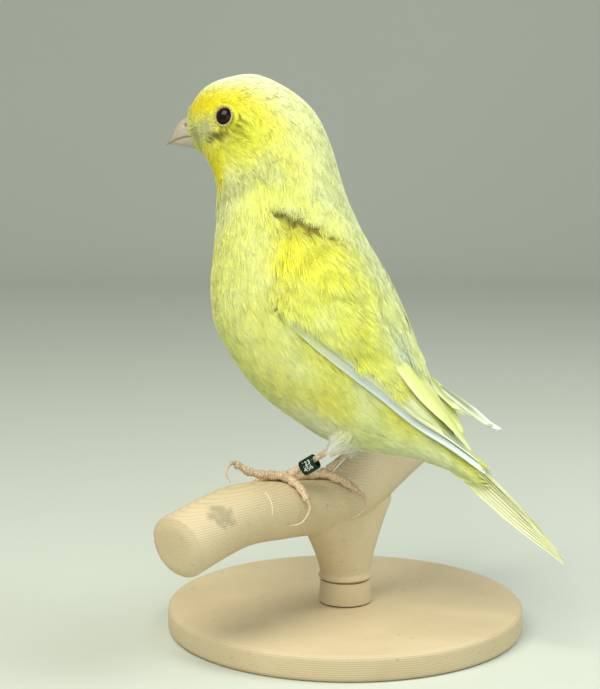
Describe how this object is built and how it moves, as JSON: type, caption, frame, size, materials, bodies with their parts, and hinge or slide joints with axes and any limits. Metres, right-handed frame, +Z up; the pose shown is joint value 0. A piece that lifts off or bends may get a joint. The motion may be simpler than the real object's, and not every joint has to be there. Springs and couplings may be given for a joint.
{
  "type": "canary on a perch",
  "caption": "Life-size still model of a yellow canary, upright on a curved perch bar, on a plain round display stand.",
  "frame": {"origin": "middle of the stand's underside, on the floor, on the axis of the rod", "axes": "+Z up; the bird faces -X, with its left side towards -Y"},
  "size_m": [0.0948, 0.0915, 0.1301],
  "materials": {
    "plumage": "soft yellow body plumage with whitish frosting",
    "flight_feather": "pale yellow to white flight and tail feathers, faintly glossy",
    "bill_horn": "smooth pinkish horn",
    "eye": "wet black gloss",
    "leg_skin": "scaly pinkish skin",
    "claw_horn": "pale translucent horn",
    "ring_metal": "dark green anodised with white digits",
    "perch_plastic": "matte beige printed plastic with fine layer lines"
  },
  "bodies": {
    "root": {"head": "plumage", "neck": "plumage", "torso": "plumage", "thigh_left": "plumage", "thigh_right": "plumage", "wing_left": "flight_feather", "wing_right": "flight_feather", "tail": "flight_feather", "bill_upper": "bill_horn", "bill_lower": "bill_horn", "eye_left": "eye", "eye_right": "eye", "tarsus_left": "leg_skin", "tarsus_right": "leg_skin", "foot_left": "leg_skin", "foot_right": "leg_skin", "leg_ring": "ring_metal", "perch_bar": "perch_plastic", "stand_rod": "perch_plastic", "stand_base": "perch_plastic", "claw_left_middle": "claw_horn", "claw_left_inner": "claw_horn", "claw_left_outer": "claw_horn", "claw_left_hind": "claw_horn", "claw_right_middle": "claw_horn", "claw_right_inner": "claw_horn", "claw_right_outer": "claw_horn", "claw_right_hind": "claw_horn"}
  },
  "joints": []
}
